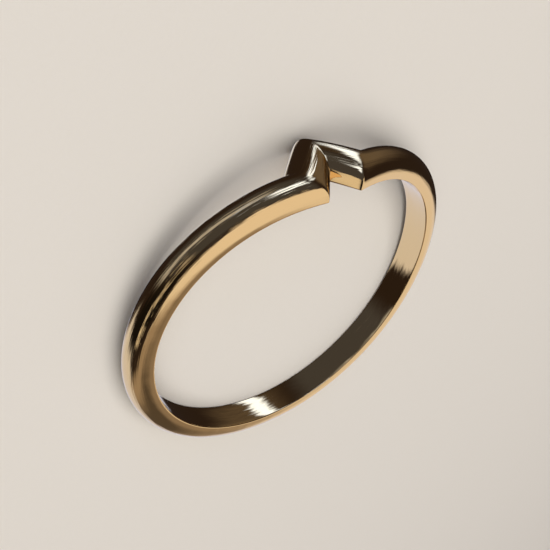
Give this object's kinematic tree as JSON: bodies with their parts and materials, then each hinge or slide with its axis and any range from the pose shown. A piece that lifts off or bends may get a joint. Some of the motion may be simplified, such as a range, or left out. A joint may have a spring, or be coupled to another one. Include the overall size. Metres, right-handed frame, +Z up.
{
  "type": "wedding ring",
  "caption": "Narrow yellow gold finger ring with a domed outside and a pointed V front whose sharp shoulders sweep down to a plain back.",
  "frame": {"origin": "centre of the ring's bounding box, on the surface that it lies on", "axes": "+Z up through the finger hole, -Y towards the point of the V, X across the two shoulders"},
  "size_m": [0.0194, 0.0194, 0.0038],
  "materials": {
    "gold": "polished"
  },
  "bodies": {
    "root": {"band": "gold"}
  },
  "joints": []
}
